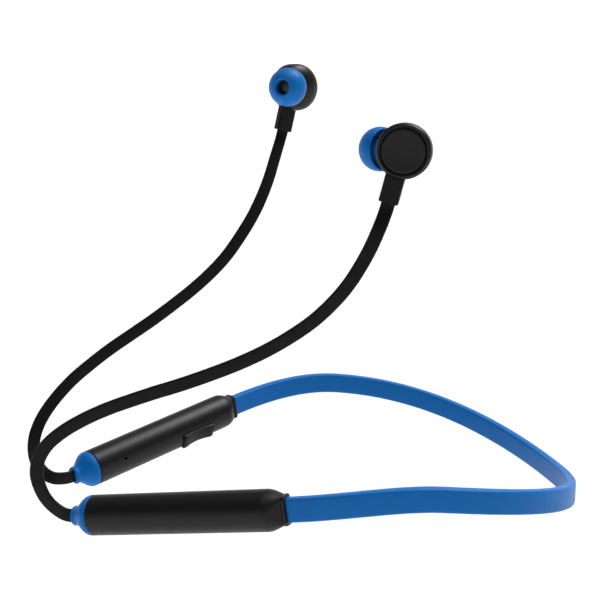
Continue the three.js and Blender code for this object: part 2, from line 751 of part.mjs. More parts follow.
// The cable's flat faces are square to the cap's slot at one end and the stem's at the other, and
// face the wearer's sides between them.
function cableGuide(label) {
  const { hand } = BUDS[label];
  const atCap = new THREE.Vector3().setFromMatrixColumn(tubeMatrix(hand), 1);
  const atStem = new THREE.Vector3().setFromMatrixColumn(budMatrix(label), 0);
  if (atCap.y < 0) atCap.negate();
  if (atStem.y < 0) atStem.negate();
  return (u) => {
    const leaving = THREE.MathUtils.smoothstep(u, 0.05, 0.2);
    const arriving = THREE.MathUtils.smoothstep(u, 0.75, 0.95);
    return atCap.clone().lerp(RIGHT, leaving).lerp(atStem, arriving).normalize();
  };
}

function addCable(label) {
  const side = BUDS[label].hand;
  const points = [
    tubePoint(side, CAP_END - CABLE_INSET),
    tubePoint(side, CAP_END - CABLE_INSET / 2),
    tubePoint(side, CAP_END + 0.8),
    ...CABLE_ROUTES[label].map(vector),
    stemPoint(label, STEM_LENGTH + 1.5),
    stemPoint(label, STEM_LENGTH - STEM_POCKET / 2),
    stemPoint(label, STEM_LENGTH - STEM_POCKET),
  ];
  const route = new THREE.CatmullRomCurve3(points, false, "centripetal");
  const section = chamferedSection(CABLE_WIDTH, CABLE_THICKNESS, 0.3);
  const cable = swept(section, new GuidedPath([route], cableGuide(label)), CABLE_STEPS);
  place(neckband, `${label}_cable`, cable, MATERIALS.blackRubber);
}

addBandHalf("neck_band_left", -1);
addBandHalf("neck_band_right", 1);
addBandCore(-1, "left");
addBandCore(1, "right");
addBatteryTube();
addControlTube();
for (const label of Object.keys(BUDS)) {
  addBud(label);
  addCable(label);
}

export default neckband;
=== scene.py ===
"""Looks for the neckband earphones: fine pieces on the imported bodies, materials, light and camera.

Shapes are written in millimetres in the CAD frame and scaled to metres as each mesh is made.
"""
import json
import math

import bmesh
import bpy
from mathutils import Matrix, Vector


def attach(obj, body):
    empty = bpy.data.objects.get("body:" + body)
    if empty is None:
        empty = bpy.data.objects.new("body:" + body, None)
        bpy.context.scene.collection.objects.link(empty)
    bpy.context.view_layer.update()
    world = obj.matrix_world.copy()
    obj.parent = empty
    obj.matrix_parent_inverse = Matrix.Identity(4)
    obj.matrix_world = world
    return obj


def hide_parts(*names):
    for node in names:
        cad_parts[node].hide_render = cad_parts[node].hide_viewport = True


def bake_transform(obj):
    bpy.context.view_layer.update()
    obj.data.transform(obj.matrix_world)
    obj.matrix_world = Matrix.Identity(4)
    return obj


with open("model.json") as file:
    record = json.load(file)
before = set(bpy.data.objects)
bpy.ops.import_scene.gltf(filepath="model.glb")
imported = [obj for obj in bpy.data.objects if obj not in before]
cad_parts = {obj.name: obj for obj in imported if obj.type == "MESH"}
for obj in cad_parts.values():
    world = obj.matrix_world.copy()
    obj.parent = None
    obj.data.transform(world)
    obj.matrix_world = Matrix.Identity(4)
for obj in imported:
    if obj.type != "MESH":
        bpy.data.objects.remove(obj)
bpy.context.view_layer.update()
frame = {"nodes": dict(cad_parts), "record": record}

MM = 0.001
UP = Vector((0, 0, 1))
SIDES = {"left": -1, "right": 1}
SIDE_BODY = {"left": "left_side", "right": "right_side"}
NODE_SLOT = {part["node"]: part["material_slot"] for part in frame["record"]["subparts"]}

# ---------------------------------------------------------------- driving dimensions, in the CAD's frame
GAP = 0.3
BAND_HEIGHT, BAND_THICKNESS = 6.4, 3.0
NAPE, NAPE_HANDLE = (1.5, 0.0, 0.0), 28.7
SHOULDER, SHOULDER_RISE = (-52.3, 62.8, 13.9), 0.1
SHOULDER_HANDLE_BACK, SHOULDER_HANDLE_FRONT = 37.0, 12.7
TUBE_START, TUBE_START_HANDLE = (-91.5, 51.8, 9.6), 16.2
TUBE_TOE_IN, TUBE_DIP = math.radians(33), math.radians(9.7)
TUBE_RADIUS, TUBE_BORE = 5.5, 4.6
TUBE_TAPER_END, TUBE_SEAM = 4.8, 56.7
LIP_START, LIP_END, LIP_HEIGHT, LIP_THICKNESS = -0.95, -0.12, 7.9, 4.7
END_CORNER = 1.1
TONGUE_END, CORE_END = 4.6, 6.5
CAP_END, CAP_LIP_RADIUS, CAP_SPIGOT = 63.2, 2.7, 4.0
KEY_PLACE, KEY_TURN = 18.2, math.radians(-28)
KEY_LENGTH, KEY_WIDTH, KEY_TOP, KEY_SCOOP_TOP, KEY_UNDERSIDE = 12.6, 5.0, 6.0, 5.3, 3.6
KEY_PIN_HEIGHT, KEY_PIN_RADIUS, SWITCH_SPACING = 2.3, 0.5, 4.6
BOARD_TOP = -0.6
MIC_PLACE, MIC_TURN = 47.3, math.radians(10)
PORT_PLACE, LED_PLACE = 35.4, 25.0
COVER_START, COVER_STOP, COVER_EDGES = -5.1, 5.3, (-1.3, 3.3)
COVER_INNER, COVER_OUTER = 5.3, 5.65
BUD_RADIUS, BUD_BACK, BUD_FRONT = 7.25, 4.0, 4.6
BACK_TOE, NOZZLE_CANT = math.radians(22), math.radians(52)
NOZZLE_RADIUS, NOZZLE_END, NOZZLE_BORE = 2.3, 10.2, 1.6
TIP_RADIUS, TIP_START, TIP_WIDEST, TIP_FRONT = 5.9, 6.2, 8.2, 13.3
TIP_FORWARD = {"left": 0.9, "right": 0.0}
STEM_WIDTH, STEM_THICKNESS, STEM_LENGTH, STEM_POCKET = 5.2, 3.0, 7.0, 3.4
STEM_LEAN, STEM_OFFSET, STEM_TOP, STEM_DEPTH = math.radians(14), 2.1, -6.7, 1.9
BUD_CENTRES = {"left": (-58.2, -36.9, 99.8), "right": (-72.3, 40.5, 115.6)}
CABLE_WIDTH, CABLE_THICKNESS, CABLE_INSET = 3.7, 1.3, 5.0

# The routes of the two cables between cap and stem, in metres.
CABLE_ROUTES = {
    "left": [
        (-0.1466, -0.0166, -0.0009),
        (-0.1494, -0.0158, 0.0009),
        (-0.1517, -0.0156, 0.0037),
        (-0.1532, -0.0156, 0.0071),
        (-0.1539, -0.0157, 0.0108),
        (-0.1533, -0.0160, 0.0147),
        (-0.1512, -0.0166, 0.0186),
        (-0.1476, -0.0175, 0.0221),
        (-0.1426, -0.0187, 0.0255),
        (-0.1353, -0.0206, 0.0293),
        (-0.1235, -0.0238, 0.0340),
        (-0.1156, -0.0259, 0.0368),
        (-0.1078, -0.0281, 0.0399),
        (-0.1001, -0.0302, 0.0433),
        (-0.0930, -0.0320, 0.0470),
        (-0.0863, -0.0337, 0.0513),
        (-0.0804, -0.0350, 0.0559),
        (-0.0735, -0.0366, 0.0635),
        (-0.0684, -0.0375, 0.0718),
        (-0.0650, -0.0380, 0.0794),
    ],
    "right": [
        (-0.1467, 0.0163, -0.0012),
        (-0.1496, 0.0160, -0.0009),
        (-0.1522, 0.0168, 0.0003),
        (-0.1542, 0.0183, 0.0025),
        (-0.1553, 0.0204, 0.0054),
        (-0.1553, 0.0226, 0.0091),
        (-0.1539, 0.0244, 0.0134),
        (-0.1513, 0.0258, 0.0177),
        (-0.1479, 0.0268, 0.0219),
        (-0.1435, 0.0276, 0.0264),
        (-0.1382, 0.0280, 0.0308),
        (-0.1322, 0.0284, 0.0353),
        (-0.1256, 0.0287, 0.0397),
        (-0.1188, 0.0290, 0.0442),
        (-0.1124, 0.0294, 0.0488),
        (-0.1065, 0.0298, 0.0533),
        (-0.1013, 0.0302, 0.0578),
        (-0.0967, 0.0308, 0.0624),
        (-0.0930, 0.0316, 0.0670),
        (-0.0870, 0.0331, 0.0761),
        (-0.0825, 0.0350, 0.0854),
        (-0.0793, 0.0373, 0.0944),
    ],
}


# ---------------------------------------------------------------- frames and paths
def frame_at(position, x_axis, z_axis):
    """The matrix with those X and Z axes at that position."""
    columns = (x_axis, z_axis.cross(x_axis), z_axis, Vector(position))
    return Matrix([[c[row] for c in columns] for row in range(3)] + [[0, 0, 0, 1]])


def tube_axis(side):
    """Down the tube, from its collar to its cap."""
    flat = math.cos(TUBE_DIP)
    inward = -side * math.sin(TUBE_TOE_IN) * flat
    return Vector((-math.cos(TUBE_TOE_IN) * flat, inward, -math.sin(TUBE_DIP)))


def tube_point(side, along):
    return Vector((TUBE_START[0], side * TUBE_START[1], TUBE_START[2])) + tube_axis(side) * along


def tube_matrix(side):
    axis = tube_axis(side)
    return frame_at(tube_point(side, 0), axis, (UP - axis * axis.z).normalized())


def key_matrix(along, turn):
    """In this frame +Y points out of the control tube."""
    return tube_matrix(1) @ Matrix.Translation((along, 0, 0)) @ Matrix.Rotation(turn, 4, "X")


def bud_matrix(label):
    side = SIDES[label]
    back = Vector((-math.sin(BACK_TOE), side * math.cos(BACK_TOE), 0))
    return frame_at(BUD_CENTRES[label], back, UP)


def nozzle_matrix(label):
    return bud_matrix(label) @ Matrix.Rotation(SIDES[label] * (math.pi - NOZZLE_CANT), 4, "Z")


def stem_matrix(label):
    """In this frame +X runs down the stem."""
    side = SIDES[label]
    place = Matrix.Translation((STEM_DEPTH, side * STEM_OFFSET, STEM_TOP))
    lean = Matrix.Rotation(side * STEM_LEAN, 4, "X")
    down = Matrix.Rotation(math.pi / 2, 4, "Y")
    return bud_matrix(label) @ place @ lean @ down


def bezier(a, b, c, d, steps):
    points = []
    for i in range(steps + 1):
        t = i / steps
        s = 1 - t
        points.append(a * s**3 + b * (3 * s * s * t) + c * (3 * s * t * t) + d * t**3)
    return points


def arm_points(side):
    """One arm of the band's centre line, from beside the nape to the full section's end at the collar."""
    start = Vector((NAPE[0], side * GAP / 2, NAPE[2]))
    shoulder = Vector((SHOULDER[0], side * SHOULDER[1], SHOULDER[2]))
    junction = tube_point(side, 0)
    forward = Vector((-1, 0, SHOULDER_RISE)).normalized()
    across = Vector((0, side, 0))
    back = bezier(
        start,
        start + across * NAPE_HANDLE,
        shoulder - forward * SHOULDER_HANDLE_BACK,
        shoulder,
        90,
    )
    front = bezier(
        shoulder,
        shoulder + forward * SHOULDER_HANDLE_FRONT,
        junction - tube_axis(side) * TUBE_START_HANDLE,
        junction,
        40,
    )
    to_tube = tube_matrix(side).inverted()
    front = [p for p in front[1:] if (to_tube @ p).x < LIP_START - 0.8]
    return back + front


def spline(points, per_span=14):
    """Samples a centripetal Catmull-Rom curve through the points."""
    ends = [points[0] * 2 - points[1], *points, points[-1] * 2 - points[-2]]
    samples = []
    for p0, p1, p2, p3 in zip(ends, ends[1:], ends[2:], ends[3:]):
        d0, d1, d2 = [(b - a).length ** 0.5 for a, b in ((p0, p1), (p1, p2), (p2, p3))]
        t1 = ((p1 - p0) / d0 - (p2 - p0) / (d0 + d1) + (p2 - p1) / d1) * d1
        t2 = ((p2 - p1) / d1 - (p3 - p1) / (d1 + d2) + (p3 - p2) / d2) * d1
        for i in range(per_span):
            t = i / per_span
            samples.append(
                p1 + t1 * t + (p2 * 3 - p1 * 3 - t1 * 2 - t2) * t * t + (p1 * 2 - p2 * 2 + t1 + t2) * t**3
            )
    return samples + [points[-1]]


def smoothstep(value, low, high):
    t = min(1, max(0, (value - low) / (high - low)))
    return t * t * (3 - 2 * t)


# ---------------------------------------------------------------- mesh helpers
def rounded_section(width, height, radius, steps=5):
    """Points round a rectangle with round corners."""
    points = []
    for quarter, (x, y) in enumerate(((1, 1), (-1, 1), (-1, -1), (1, -1))):
        for i in range(steps + 1):
            angle = math.pi / 2 * (quarter + i / steps)
            points.append(
                (
                    x * (width / 2 - radius) + radius * math.cos(angle),
                    y * (height / 2 - radius) + radius * math.sin(angle),
                )
            )
    return points


def circle_section(radius, count=16):
    angles = [2 * math.pi * i / count for i in range(count)]
    return [(radius * math.cos(a), radius * math.sin(a)) for a in angles]


def fillet(profile, radius, steps=4):
    """The open profile with every inner corner rounded, by less where an edge is short."""
    points = [Vector(p) for p in profile]
    rounded = [points[0]]
    for before, corner, after in zip(points, points[1:], points[2:]):
        to_before, to_after = before - corner, after - corner
        reach = min(radius, to_before.length * 0.45, to_after.length * 0.45)
        a = corner + to_before.normalized() * reach
        b = corner + to_after.normalized() * reach
        for i in range(steps + 1):
            t = i / steps
            rounded.append(a * (1 - t) ** 2 + corner * (2 * t * (1 - t)) + b * t * t)
    return [tuple(p) for p in rounded + [points[-1]]]


def loft(bm, rings, loop=False):
    """Quads between rings of equal count, with end faces unless the rings close in a loop."""
    rows = [[bm.verts.new(p) for p in ring] for ring in rings]
    count = len(rows[0])
    pairs = list(zip(rows, rows[1:] + rows[:1] if loop else rows[1:]))
    for low, high in pairs:
        for i in range(count):
            j = (i + 1) % count
            bm.faces.new((low[i], low[j], high[j], high[i]))
    if not loop:
        bm.faces.new(reversed(rows[0]))
        bm.faces.new(rows[-1])


def prism(stations, bm=None, loop=False):
    """A body along X from (place, section) stations."""
    bm = bm or bmesh.new()
    loft(bm, [[(x, a, b) for a, b in section] for x, section in stations], loop)
    return bm


def soft_bar(width, height, radius, start, end, edge=0.15):
    """A bar along X with rounded corners and softened ends."""
    full = rounded_section(width, height, radius)
    tight = rounded_section(width - 2 * edge, height - 2 * edge, max(0.05, radius - edge))
    return prism([(start, tight), (start + edge, full), (end - edge, full), (end, tight)])


def swept(points, section_at, guide_at):
    """A body along the points. A section's second axis keeps as near as it can to the guide."""
    bm = bmesh.new()
    rings = []
    for i, point in enumerate(points):
        tangent = (points[min(i + 1, len(points) - 1)] - points[max(i - 1, 0)]).normalized()
        guide = guide_at(i)
        second = (guide - tangent * guide.dot(tangent)).normalized()
        first = second.cross(tangent)
        rings.append([point + first * a + second * b for a, b in section_at(i)])
    loft(bm, rings)
    return bm


def turned(profile, segments=96):
    """A body turned about the X axis from [place, radius] points."""
    bm = bmesh.new()
    rows = []
    for k in range(segments):
        angle = 2 * math.pi * k / segments
        rows.append([bm.verts.new((x, r * math.cos(angle), r * math.sin(angle))) for x, r in profile])
    for low, high in zip(rows, rows[1:] + rows[:1]):
        for i in range(len(profile) - 1):
            bm.faces.new((low[i], low[i + 1], high[i + 1], high[i]))
    bmesh.ops.remove_doubles(bm, verts=bm.verts, dist=1e-5)
    bmesh.ops.dissolve_degenerate(bm, edges=bm.edges, dist=1e-5)
    return bm


def block(low, high):
    (x0, y0, z0), (x1, y1, z1) = low, high
    return prism([(x, [(y0, z0), (y1, z0), (y1, z1), (y0, z1)]) for x in (x0, x1)])


def post(start, end, radius, segments=32):
    """A round bar along Y."""
    bm = turned([(start, 0), (start, radius), (end, radius), (end, 0)], segments)
    bm.transform(Matrix.Rotation(math.pi / 2, 4, "Z"))
    return bm


def joined(*parts):
    """Several closed bodies in one mesh."""
    whole = bmesh.new()
    for part in parts:
        mesh = bpy.data.meshes.new("part")
        part.to_mesh(mesh)
        part.free()
        whole.from_mesh(mesh)
        bpy.data.meshes.remove(mesh)
    return whole


def make(name, bm, matrix=None):
    if matrix is not None:
        bm.transform(matrix)
    bm.transform(Matrix.Scale(MM, 4))
    bmesh.ops.recalc_face_normals(bm, faces=bm.faces)
    mesh = bpy.data.meshes.new(name)
    bm.to_mesh(mesh)
    bm.free()
    obj = bpy.data.objects.new(name, mesh)
    bpy.context.scene.collection.objects.link(obj)
    return obj


def baked(obj):
    """Applies the object's modifiers to its mesh."""
    graph = bpy.context.evaluated_depsgraph_get()
    mesh = bpy.data.meshes.new_from_object(obj.evaluated_get(graph))
    obj.modifiers.clear()
    old, obj.data = obj.data, mesh
    bpy.data.meshes.remove(old)
    return obj


def carve(obj, cutters, matrix, operation="DIFFERENCE"):
    tools = [make("tool", cutter, matrix) for cutter in cutters]
    for tool in tools:
        modifier = obj.modifiers.new("carve", "BOOLEAN")
        modifier.operation = operation
        modifier.solver = "EXACT"
        modifier.object = tool
    baked(obj)
    for tool in tools:
        bpy.data.objects.remove(tool)
    return obj


def bevelled(obj, width, segments=3, angle=35):
    modifier = obj.modifiers.new("bevel", "BEVEL")
    modifier.width = width * MM
    modifier.segments = segments
    modifier.limit_method = "ANGLE"
    modifier.angle_limit = math.radians(angle)
    return baked(obj)


def dress(obj, nodes, body=None, sharp=32):
    """Gives a piece its material from the nodes it replaces, smooth faces, and its body."""
    slot = NODE_SLOT[nodes[0]]
    obj.data.materials.clear()
    obj.data.materials.append(MATERIALS[slot])
    for polygon in obj.data.polygons:
        polygon.material_index = 0
    obj.data.shade_smooth()
    obj.data.set_sharp_from_angle(angle=math.radians(sharp))
    if body:
        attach(obj, body)
    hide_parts(*nodes)
    return obj


# ---------------------------------------------------------------- materials
def finish(
    name,
    colour,
    roughness,
    metallic=0.0,
    *,
    mottle=0.06,
    cloud=180.0,
    grain=2600.0,
    bump=0.15,
    depth=0.02,
    rough_swing=0.06,
    coat=0.0,
    sheen=0.0,
    edge=0.0,
    specular=0.5,
    stretch=(1, 1, 1),
):
    """A procedural finish: cloudy colour, uneven gloss, fine grain and a painted highlight that makes
    edges lighter.

    cloud and grain are noise scales per metre, and depth is the grain's height in millimetres.
    """
    material = bpy.data.materials.new(name)
    material.use_nodes = True
    tree = material.node_tree
    shader = tree.nodes["Principled BSDF"]
    shader.inputs["Base Color"].default_value = (*colour, 1)
    shader.inputs["Roughness"].default_value = roughness
    shader.inputs["Metallic"].default_value = metallic
    shader.inputs["Specular IOR Level"].default_value = specular
    shader.inputs["Coat Weight"].default_value = coat
    shader.inputs["Coat Roughness"].default_value = 0.25
    shader.inputs["Sheen Weight"].default_value = sheen
    shader.inputs["Sheen Roughness"].default_value = 0.5
    node = lambda kind: tree.nodes.new(kind)
    link = tree.links.new
    place = node("ShaderNodeTexCoord")
    mapping = node("ShaderNodeMapping")
    mapping.inputs["Scale"].default_value = stretch
    link(place.outputs["Object"], mapping.inputs["Vector"])

    def noise(scale, detail=3.0):
        texture = node("ShaderNodeTexNoise")
        texture.inputs["Scale"].default_value = scale
        texture.inputs["Detail"].default_value = detail
        link(mapping.outputs["Vector"], texture.inputs["Vector"])
        return texture.outputs["Fac"]

    def spread(source, low, high, start=0.3, end=0.7):
        ramp = node("ShaderNodeMapRange")
        ramp.inputs["From Min"].default_value = start
        ramp.inputs["From Max"].default_value = end
        ramp.inputs["To Min"].default_value = low
        ramp.inputs["To Max"].default_value = high
        link(source, ramp.inputs["Value"])
        return ramp.outputs["Result"]

    def mix(factor, a, b):
        blend = node("ShaderNodeMix")
        blend.data_type = "RGBA"
        link(factor, blend.inputs["Factor"])
        for socket, value in (("A", a), ("B", b)):
            target = next(s for s in blend.inputs if s.name == socket and s.type == "RGBA")
            if isinstance(value, tuple):
                target.default_value = value
            else:
                link(value, target)
        return next(s for s in blend.outputs if s.type == "RGBA")

    clouds = spread(noise(cloud), 0, 1)
    darker, lighter = [(*[c * (1 + swing) for c in colour], 1) for swing in (-mottle, mottle)]
    tone = mix(clouds, darker, lighter)
    # Painted highlight: where the mesh is pointed, at edges and corners, the colour is made lighter to
    # stand in for light catching the edges.
    if edge:
        geometry = node("ShaderNodeNewGeometry")
        painted_edge_highlight = spread(geometry.outputs["Pointiness"], 0, edge, 0.52, 0.60)
        tone = mix(painted_edge_highlight, tone, (*[min(1, c * 1.6 + 0.02) for c in colour], 1))
    link(tone, shader.inputs["Base Color"])
    uneven = spread(noise(cloud * 3), roughness - rough_swing, roughness + rough_swing)
    link(uneven, shader.inputs["Roughness"])
    relief = node("ShaderNodeBump")
    relief.inputs["Strength"].default_value = bump
    relief.inputs["Distance"].default_value = depth * MM
    link(noise(grain, 2.0), relief.inputs["Height"])
    link(relief.outputs["Normal"], shader.inputs["Normal"])
    return material


def perforated(name, colour, pitch):
    """Woven wire: dark holes in a bright sheet, in rows a pitch apart."""
    material = finish(name, colour, 0.35, 1.0, grain=4000, bump=0.1)
    tree = material.node_tree
    shader = tree.nodes["Principled BSDF"]
    place = next(n for n in tree.nodes if n.type == "TEX_COORD")
    cells = tree.nodes.new("ShaderNodeTexVoronoi")
    cells.inputs["Scale"].default_value = 1 / (pitch * MM)
    cells.inputs["Randomness"].default_value = 0.1
    tree.links.new(place.outputs["Object"], cells.inputs["Vector"])
    hole = tree.nodes.new("ShaderNodeMapRange")
    hole.inputs["From Min"].default_value = 0.30
    hole.inputs["From Max"].default_value = 0.38
    tree.links.new(cells.outputs["Distance"], hole.inputs["Value"])
    blend = tree.nodes.new("ShaderNodeMix")
    blend.data_type = "RGBA"
    sockets = [s for s in blend.inputs if s.type == "RGBA"]
    sockets[0].default_value = (0.004, 0.004, 0.004, 1)
    sockets[1].default_value = (*colour, 1)
    tree.links.new(hole.outputs["Result"], blend.inputs["Factor"])
    tree.links.new(next(s for s in blend.outputs if s.type == "RGBA"), shader.inputs["Base Color"])
    return material


# Each finish's edge value sets how strongly its edges are painted lighter as a highlight.
MATERIALS = {
    "blue_silicone": finish(
        "blue_silicone", (0.0015, 0.15, 0.50), 0.46, mottle=0.03, grain=5200, bump=0.12, depth=0.012,
        sheen=0.03, edge=0.1, specular=0.15,
    ),
    "black_plastic": finish(
        "black_plastic", (0.0075, 0.0075, 0.008), 0.44, mottle=0.08, grain=6500, bump=0.05, depth=0.006,
        edge=0.15, rough_swing=0.02, specular=0.26,
    ),
    "black_rubber": finish(
        "black_rubber", (0.0038, 0.0038, 0.0038), 0.55, mottle=0.1, grain=4200, bump=0.18, depth=0.012,
        edge=0.1, specular=0.18,
    ),
    "spring_steel": finish("spring_steel", (0.5, 0.5, 0.52), 0.3, 1.0, grain=3000, stretch=(1, 1, 6)),
    "copper_leads": finish("copper_leads", (0.62, 0.28, 0.12), 0.42, 1.0, mottle=0.15, grain=3000),
    "steel": finish("steel", (0.56, 0.57, 0.58), 0.34, 1.0, grain=3500, stretch=(8, 1, 1)),
    "magnet_plating": finish("magnet_plating", (0.45, 0.46, 0.48), 0.22, 1.0, grain=2500, bump=0.05),
    "circuit_board": finish("circuit_board", (0.01, 0.12, 0.04), 0.4, mottle=0.35, cloud=900, coat=0.4),
    "switch_plastic": finish("switch_plastic", (0.02, 0.02, 0.025), 0.45),
    "antenna_ceramic": finish("antenna_ceramic", (0.78, 0.75, 0.68), 0.5, mottle=0.03, grain=5000),
    "cell_wrap": finish(
        "cell_wrap", (0.08, 0.22, 0.42), 0.3, coat=0.4, mottle=0.05, grain=900, depth=0.05,
    ),
    "foam": finish(
        "foam", (0.03, 0.03, 0.03), 0.9, mottle=0.3, cloud=1500, grain=1800, bump=0.7, depth=0.15,
    ),
    "light_pipe": finish(
        "light_pipe", (0.85, 0.88, 0.92), 0.18, mottle=0.02, coat=0.5, grain=1500, bump=0.05,
    ),
    "key": finish(
        "key_plastic", (0.0045, 0.0045, 0.005), 0.5, mottle=0.08, grain=6500, bump=0.05, depth=0.006,
        edge=0.3, rough_swing=0.02, specular=0.13,
    ),
    "mesh": perforated("nozzle_weave", (0.07, 0.07, 0.072), 0.32),
}
for node_name, node_object in frame["nodes"].items():
    node_object.data.materials.clear()
    node_object.data.materials.append(MATERIALS[NODE_SLOT[node_name]])

# ---------------------------------------------------------------- camera
CAMERA_PLACE = Vector((-0.1461, -0.3478, 0.1157))
CAMERA_FORWARD = Vector((0.1889, 0.9672, -0.1698)).normalized()
CAMERA_UP = Vector((0.0198, 0.1691, 0.9854))
CAMERA_LENS = 74.16


def add_camera():
    data = bpy.data.cameras.new("camera")
    data.sensor_width = 36
    data.lens = CAMERA_LENS
    data.clip_start, data.clip_end = 0.01, 60
    camera = bpy.data.objects.new("camera", data)
    right = CAMERA_FORWARD.cross(CAMERA_UP).normalized()
    up = right.cross(CAMERA_FORWARD)
    columns = (right, up, -CAMERA_FORWARD, CAMERA_PLACE)
    camera.matrix_world = Matrix([[c[row] for c in columns] for row in range(3)] + [[0, 0, 0, 1]])
    bpy.context.scene.collection.objects.link(camera)
    bpy.context.scene.camera = camera


add_camera()


# ---------------------------------------------------------------- cables
def add_cable(label):
    side = SIDES[label]
    stem = stem_matrix(label)
    points = spline(
        [tube_point(side, CAP_END - CABLE_INSET), tube_point(side, CAP_END - CABLE_INSET / 2)]
        + [tube_point(side, CAP_END + 0.8)]
        + [Vector(p) / MM for p in CABLE_ROUTES[label]]
        + [stem @ Vector((along, 0, 0)) for along in
           (STEM_LENGTH + 1.5, STEM_LENGTH - STEM_POCKET / 2, STEM_LENGTH - STEM_POCKET)]
    )
    travelled = [0.0]
    for a, b in zip(points, points[1:]):
        travelled.append(travelled[-1] + (b - a).length)
    at_cap = tube_matrix(side).col[1].to_3d()
    at_stem = bud_matrix(label).col[0].to_3d()
    at_cap, at_stem = [v if v.y > 0 else -v for v in (at_cap, at_stem)]

    def guide(i):
        u = travelled[i] / travelled[-1]
        mid = at_cap.lerp(Vector((0, 1, 0)), smoothstep(u, 0.05, 0.2))
        return mid.lerp(at_stem, smoothstep(u, 0.75, 0.95)).normalized()

    section = rounded_section(CABLE_WIDTH, CABLE_THICKNESS, 0.5, 6)
    cable = make(f"{label}_cable_fine", swept(points, lambda i: section, guide))
    dress(cable, [f"{label}_cable"], SIDE_BODY[label])


for label in SIDES:
    add_cable(label)


def whole_path(tail):
    """Both arms as one line, with straight tails into the tubes at the given places along them."""
    left, right = arm_points(-1), arm_points(1)
    ends = {side: [tube_point(side, along) for along in tail] for side in (-1, 1)}
    return ends[-1][::-1] + left[::-1] + right + ends[1]


def add_band():
    full = rounded_section(BAND_THICKNESS, BAND_HEIGHT, 0.75, 6)
    eased = rounded_section(BAND_THICKNESS - 0.3, BAND_HEIGHT - 0.3, 0.6, 6)
    tongue = rounded_section(2.2, 5.2, 0.3, 6)
    edge = LIP_START - 0.08
    tail = [(edge - 0.15, full), (edge, eased), (edge + 0.001, tongue), (TONGUE_END, tongue)]
    points = whole_path([place for place, _ in tail])
    last = len(points) - 1

    def section(i):
        k = min(i, last - i)
        return tail[len(tail) - 1 - k][1] if k < len(tail) else full

    band = make("neck_band_fine", swept(points, section, lambda i: UP))
    dress(band, ["neck_band_left", "neck_band_right"])
    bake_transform(band)


def add_core(name, nodes, strands, radius, spread, lift):
    points = whole_path([LIP_START - 0.2, 0, CORE_END])
    points = [p + UP * lift for p in points]
    parts = []
    for k in range(strands):
        turn = 2 * math.pi * k / strands

        def section(i, turn=turn):
            angle = turn + i * 0.45
            shift = (spread * math.cos(angle), spread * math.sin(angle))
            return [(a + shift[0], b + shift[1]) for a, b in circle_section(radius, 12)]

        parts.append(swept(points, section, lambda i: UP))
    core = make(name, joined(*parts))
    dress(core, nodes)
    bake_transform(core)


add_band()
add_core("memory_wire_fine", ["memory_wire_left", "memory_wire_right"], 1, 0.45, 0, 1.0)
add_core("band_wiring_fine", ["band_wiring_left", "band_wiring_right"], 3, 0.23, 0.26, -1.0)


# ---------------------------------------------------------------- tubes
def shell_body():
    """A round tube whose back end narrows to the collar's rounded rectangle.

    The rings along its straight length keep the shading of cuts and ends from spreading.
    """
    across = 2 * TUBE_RADIUS
    stations = []
    steps = 18
    for i in range(steps + 1):
        t = i / steps
        swell = math.sin(t * math.pi / 2) ** 1.25
        width, height = [low + (across - low) * swell for low in (LIP_THICKNESS - 0.3, LIP_HEIGHT - 0.3)]
        corner = END_CORNER + (TUBE_RADIUS - END_CORNER) * swell
        stations.append((TUBE_TAPER_END * t, rounded_section(width, height, corner, 24)))
    rings = 32
    for i in range(1, rings):
        place = TUBE_TAPER_END + (TUBE_SEAM - 0.5 - TUBE_TAPER_END) * i / rings
        stations.append((place, rounded_section(across, across, TUBE_RADIUS, 24)))
    for back, less in ((0.5, 0), (0.18, 0), (0.05, 0.05), (0, 0.18)):
        radius = TUBE_RADIUS - less
        stations.append((TUBE_SEAM - back, rounded_section(2 * radius, 2 * radius, radius, 24)))
    bm = prism(stations)
    bmesh.ops.remove_doubles(bm, verts=bm.verts, dist=1e-5)
    return bm


def add_collar(node, matrix, body):
    def lip(less):
        return rounded_section(LIP_THICKNESS - less, LIP_HEIGHT - less, 1.2 - less / 2, 7)

    neck, opening = rounded_section(3.6, 6.8, 0.5, 7), rounded_section(2.8, 5.8, 0.3, 7)
    stations = [
        (LIP_START, lip(0.3)),
        (LIP_START + 0.05, lip(0.1)),
        (LIP_START + 0.15, lip(0)),
        (LIP_END - 0.12, lip(0)),
        (LIP_END - 0.03, lip(0.1)),
        (LIP_END, lip(0.24)),
        (LIP_END, neck),
        (3.4, neck),
        (3.4, opening),
        (LIP_START + 0.15, opening),
        (LIP_START, rounded_section(3.0, 6.0, 0.4, 7)),
    ]
    dress(make(f"{node}_fine", prism(stations, loop=True), matrix), [node], body)


def add_cap(node, matrix, body):
    start = TUBE_SEAM + GAP
    bell = []
    bell_start, bell_end, waist = start + 0.3, CAP_END - 0.7, CAP_LIP_RADIUS - 0.08
    steps = 24
    for i in range(steps + 1):
        t = i / steps
        swell = (1 + math.cos(math.pi * t**1.1)) / 2
        bell.append((bell_start + (bell_end - bell_start) * t, waist + (TUBE_RADIUS - waist) * swell))
    lip = [
        (CAP_END - 0.62, CAP_LIP_RADIUS),
        (CAP_END - 0.25, CAP_LIP_RADIUS),
        (CAP_END - 0.07, CAP_LIP_RADIUS - 0.07),
        (CAP_END, CAP_LIP_RADIUS - 0.25),
        (CAP_END, 0),
    ]
    inside = [(start + 0.5, 0), (start + 0.5, 3.2), (TUBE_SEAM - CAP_SPIGOT, 3.2)]
    profile = [
        (TUBE_SEAM - CAP_SPIGOT, 3.2),
        (TUBE_SEAM - CAP_SPIGOT, TUBE_BORE - GAP),
        (start - GAP / 2, TUBE_BORE - GAP),
        (start - GAP / 2, TUBE_RADIUS - 0.15),
        (start - GAP / 2 + 0.12, TUBE_RADIUS),
    ]
    cap = make(f"{node}_fine", turned(profile + bell + lip + inside, 128), matrix)
    slot = soft_bar(CABLE_THICKNESS + 0.3, CABLE_WIDTH + 0.3, 0.5, start - 0.5, CAP_END + 1)
    dress(carve(cap, [slot], matrix), [node], body)


